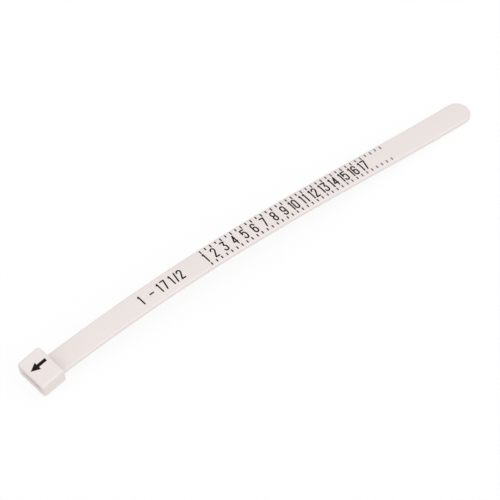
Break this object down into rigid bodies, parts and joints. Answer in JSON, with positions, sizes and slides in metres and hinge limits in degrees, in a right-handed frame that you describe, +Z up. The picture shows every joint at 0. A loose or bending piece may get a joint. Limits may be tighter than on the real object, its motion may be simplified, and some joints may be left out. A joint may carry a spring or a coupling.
{
  "type": "strap ring sizer",
  "caption": "Flat white plastic strap with a slotted head and a printed scale of ring sizes; the tail bends into a loop round a finger and enters the head, where an arrow marks the size.",
  "frame": {"origin": "on the surface the strap rests on, under the middle of its box", "axes": "+X along the strap from the head to the tip, +Y across it, towards the side of the tick row whose whole sizes are longer, +Z up, out of the printed face"},
  "size_m": [0.1107, 0.0076, 0.0056],
  "materials": {
    "strap_plastic": "smooth moulded polypropylene, warm white, satin",
    "print_ink": "thin pad-printed near-black ink, matt"
  },
  "bodies": {
    "head": {"head": "strap_plastic", "arrow": "print_ink"},
    "section_01": {"strap_section_01": "strap_plastic"},
    "section_02": {"strap_section_02": "strap_plastic"},
    "section_03": {"strap_section_03": "strap_plastic"},
    "section_04": {"strap_section_04": "strap_plastic", "range_label_04": "print_ink"},
    "section_05": {"strap_section_05": "strap_plastic", "range_label_05": "print_ink"},
    "section_06": {"strap_section_06": "strap_plastic", "range_label_06": "print_ink"},
    "section_07": {"strap_section_07": "strap_plastic", "size_ticks_07": "print_ink", "size_numbers_07": "print_ink"},
    "section_08": {"strap_section_08": "strap_plastic", "size_ticks_08": "print_ink", "size_numbers_08": "print_ink"},
    "section_09": {"strap_section_09": "strap_plastic", "size_ticks_09": "print_ink", "size_numbers_09": "print_ink"},
    "section_10": {"strap_section_10": "strap_plastic", "size_ticks_10": "print_ink", "size_numbers_10": "print_ink"},
    "section_11": {"strap_section_11": "strap_plastic", "size_ticks_11": "print_ink", "size_numbers_11": "print_ink"},
    "section_12": {"strap_section_12": "strap_plastic", "size_ticks_12": "print_ink", "size_numbers_12": "print_ink"},
    "section_13": {"strap_section_13": "strap_plastic", "size_ticks_13": "print_ink", "size_numbers_13": "print_ink"},
    "section_14": {"strap_section_14": "strap_plastic", "size_ticks_14": "print_ink", "size_numbers_14": "print_ink"},
    "section_15": {"strap_section_15": "strap_plastic", "size_ticks_15": "print_ink", "size_numbers_15": "print_ink"},
    "section_16": {"strap_section_16": "strap_plastic", "size_ticks_16": "print_ink"},
    "section_17": {"strap_section_17": "strap_plastic"},
    "section_18": {"strap_section_18": "strap_plastic"},
    "section_19": {"strap_section_19": "strap_plastic"},
    "tip": {"strap_tip": "strap_plastic"}
  },
  "joints": [
    {"name": "bend_01", "type": "hinge", "parent": "head", "child": "section_01", "pos_m": [-0.04662, 0, 0.00233], "axis": [0, 1, 0], "range_deg": [-2, 19.59], "stiffness_Nm_per_rad": 0.18},
    {"name": "bend_02", "type": "hinge", "parent": "section_01", "child": "section_02", "pos_m": [-0.04156, 0, 0.00302], "axis": [0, 1, 0], "range_deg": [-2, 18.69], "stiffness_Nm_per_rad": 0.18},
    {"name": "bend_03", "type": "hinge", "parent": "section_02", "child": "section_03", "pos_m": [-0.03649, 0, 0.00361], "axis": [0, 1, 0], "range_deg": [-2, 17.9], "stiffness_Nm_per_rad": 0.18},
    {"name": "bend_04", "type": "hinge", "parent": "section_03", "child": "section_04", "pos_m": [-0.03141, 0, 0.0041], "axis": [0, 1, 0], "range_deg": [-2, 17.22], "stiffness_Nm_per_rad": 0.18},
    {"name": "bend_05", "type": "hinge", "parent": "section_04", "child": "section_05", "pos_m": [-0.02631, 0, 0.00448], "axis": [0, 1, 0], "range_deg": [-2, 16.65], "stiffness_Nm_per_rad": 0.18},
    {"name": "bend_06", "type": "hinge", "parent": "section_05", "child": "section_06", "pos_m": [-0.02121, 0, 0.00474], "axis": [0, 1, 0], "range_deg": [-2, 16.18], "stiffness_Nm_per_rad": 0.18},
    {"name": "bend_07", "type": "hinge", "parent": "section_06", "child": "section_07", "pos_m": [-0.01611, 0, 0.0049], "axis": [0, 1, 0], "range_deg": [-2, 15.82], "stiffness_Nm_per_rad": 0.18},
    {"name": "bend_08", "type": "hinge", "parent": "section_07", "child": "section_08", "pos_m": [-0.011, 0, 0.00496], "axis": [0, 1, 0], "range_deg": [-2, 15.56], "stiffness_Nm_per_rad": 0.18},
    {"name": "bend_09", "type": "hinge", "parent": "section_08", "child": "section_09", "pos_m": [-0.00589, 0, 0.00491], "axis": [0, 1, 0], "range_deg": [-2, 15.41], "stiffness_Nm_per_rad": 0.18},
    {"name": "bend_10", "type": "hinge", "parent": "section_09", "child": "section_10", "pos_m": [-0.00079, 0, 0.00477], "axis": [0, 1, 0], "range_deg": [-2, 15.37], "stiffness_Nm_per_rad": 0.18},
    {"name": "bend_11", "type": "hinge", "parent": "section_10", "child": "section_11", "pos_m": [0.00431, 0, 0.00454], "axis": [0, 1, 0], "range_deg": [-2, 15.44], "stiffness_Nm_per_rad": 0.18},
    {"name": "bend_12", "type": "hinge", "parent": "section_11", "child": "section_12", "pos_m": [0.00941, 0, 0.00423], "axis": [0, 1, 0], "range_deg": [-2, 15.61], "stiffness_Nm_per_rad": 0.18},
    {"name": "bend_13", "type": "hinge", "parent": "section_12", "child": "section_13", "pos_m": [0.0145, 0, 0.00386], "axis": [0, 1, 0], "range_deg": [-2, 15.89], "stiffness_Nm_per_rad": 0.18},
    {"name": "bend_14", "type": "hinge", "parent": "section_13", "child": "section_14", "pos_m": [0.01959, 0, 0.00344], "axis": [0, 1, 0], "range_deg": [-2, 16.28], "stiffness_Nm_per_rad": 0.18},
    {"name": "bend_15", "type": "hinge", "parent": "section_14", "child": "section_15", "pos_m": [0.02468, 0, 0.00298], "axis": [0, 1, 0], "range_deg": [-2, 16.77], "stiffness_Nm_per_rad": 0.18},
    {"name": "bend_16", "type": "hinge", "parent": "section_15", "child": "section_16", "pos_m": [0.02976, 0, 0.00251], "axis": [0, 1, 0], "range_deg": [-2, 17.37], "stiffness_Nm_per_rad": 0.18},
    {"name": "bend_17", "type": "hinge", "parent": "section_16", "child": "section_17", "pos_m": [0.03485, 0, 0.00203], "axis": [0, 1, 0], "range_deg": [-2, 18.08], "stiffness_Nm_per_rad": 0.18},
    {"name": "bend_18", "type": "hinge", "parent": "section_17", "child": "section_18", "pos_m": [0.03994, 0, 0.00158], "axis": [0, 1, 0], "range_deg": [-2, 18.9], "stiffness_Nm_per_rad": 0.18},
    {"name": "bend_19", "type": "hinge", "parent": "section_18", "child": "section_19", "pos_m": [0.04503, 0, 0.00117], "axis": [0, 1, 0], "range_deg": [-2, 19.82], "stiffness_Nm_per_rad": 0.18},
    {"name": "bend_20", "type": "hinge", "parent": "section_19", "child": "tip", "pos_m": [0.05012, 0, 0.00083], "axis": [0, 1, 0], "range_deg": [-2, 20.85], "stiffness_Nm_per_rad": 0.18}
  ]
}
